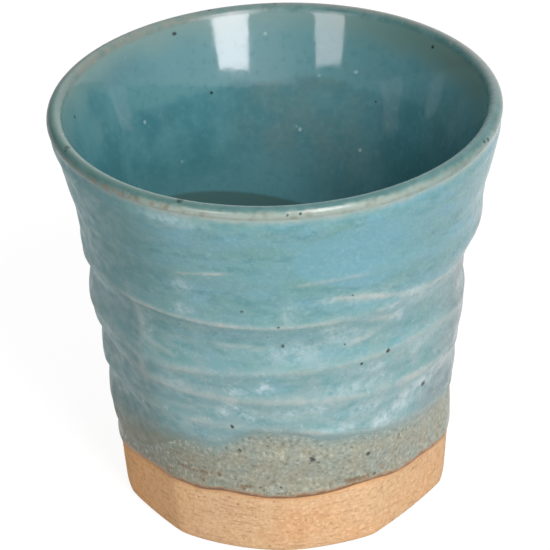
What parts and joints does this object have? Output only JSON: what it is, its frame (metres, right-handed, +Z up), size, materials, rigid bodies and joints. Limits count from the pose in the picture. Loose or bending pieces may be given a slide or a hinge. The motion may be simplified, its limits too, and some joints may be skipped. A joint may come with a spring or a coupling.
{
  "type": "shochu cup",
  "caption": "Flared stoneware shochu cup with throwing ridges, a bare knife-cut clay foot and turquoise glaze inside and out; holds a drink.",
  "frame": {"origin": "middle of the foot, on the surface that the cup stands on", "axes": "+Z up along the axis of the cup, -Y towards the side that the picture shows, +X to its right"},
  "size_m": [0.0939, 0.094, 0.0885],
  "materials": {
    "bare_clay": "unglazed sandy tan stoneware, matt",
    "lining_glaze": "smooth glossy turquoise glaze",
    "grey_green_glaze": "thin speckled grey-green glaze, satin",
    "turquoise_glaze": "glossy mottled turquoise glaze with iron specks"
  },
  "bodies": {
    "root": {"clay_body": "bare_clay", "liner_glaze": "lining_glaze", "first_glaze_coat": "grey_green_glaze", "second_glaze_coat": "turquoise_glaze"}
  },
  "joints": []
}
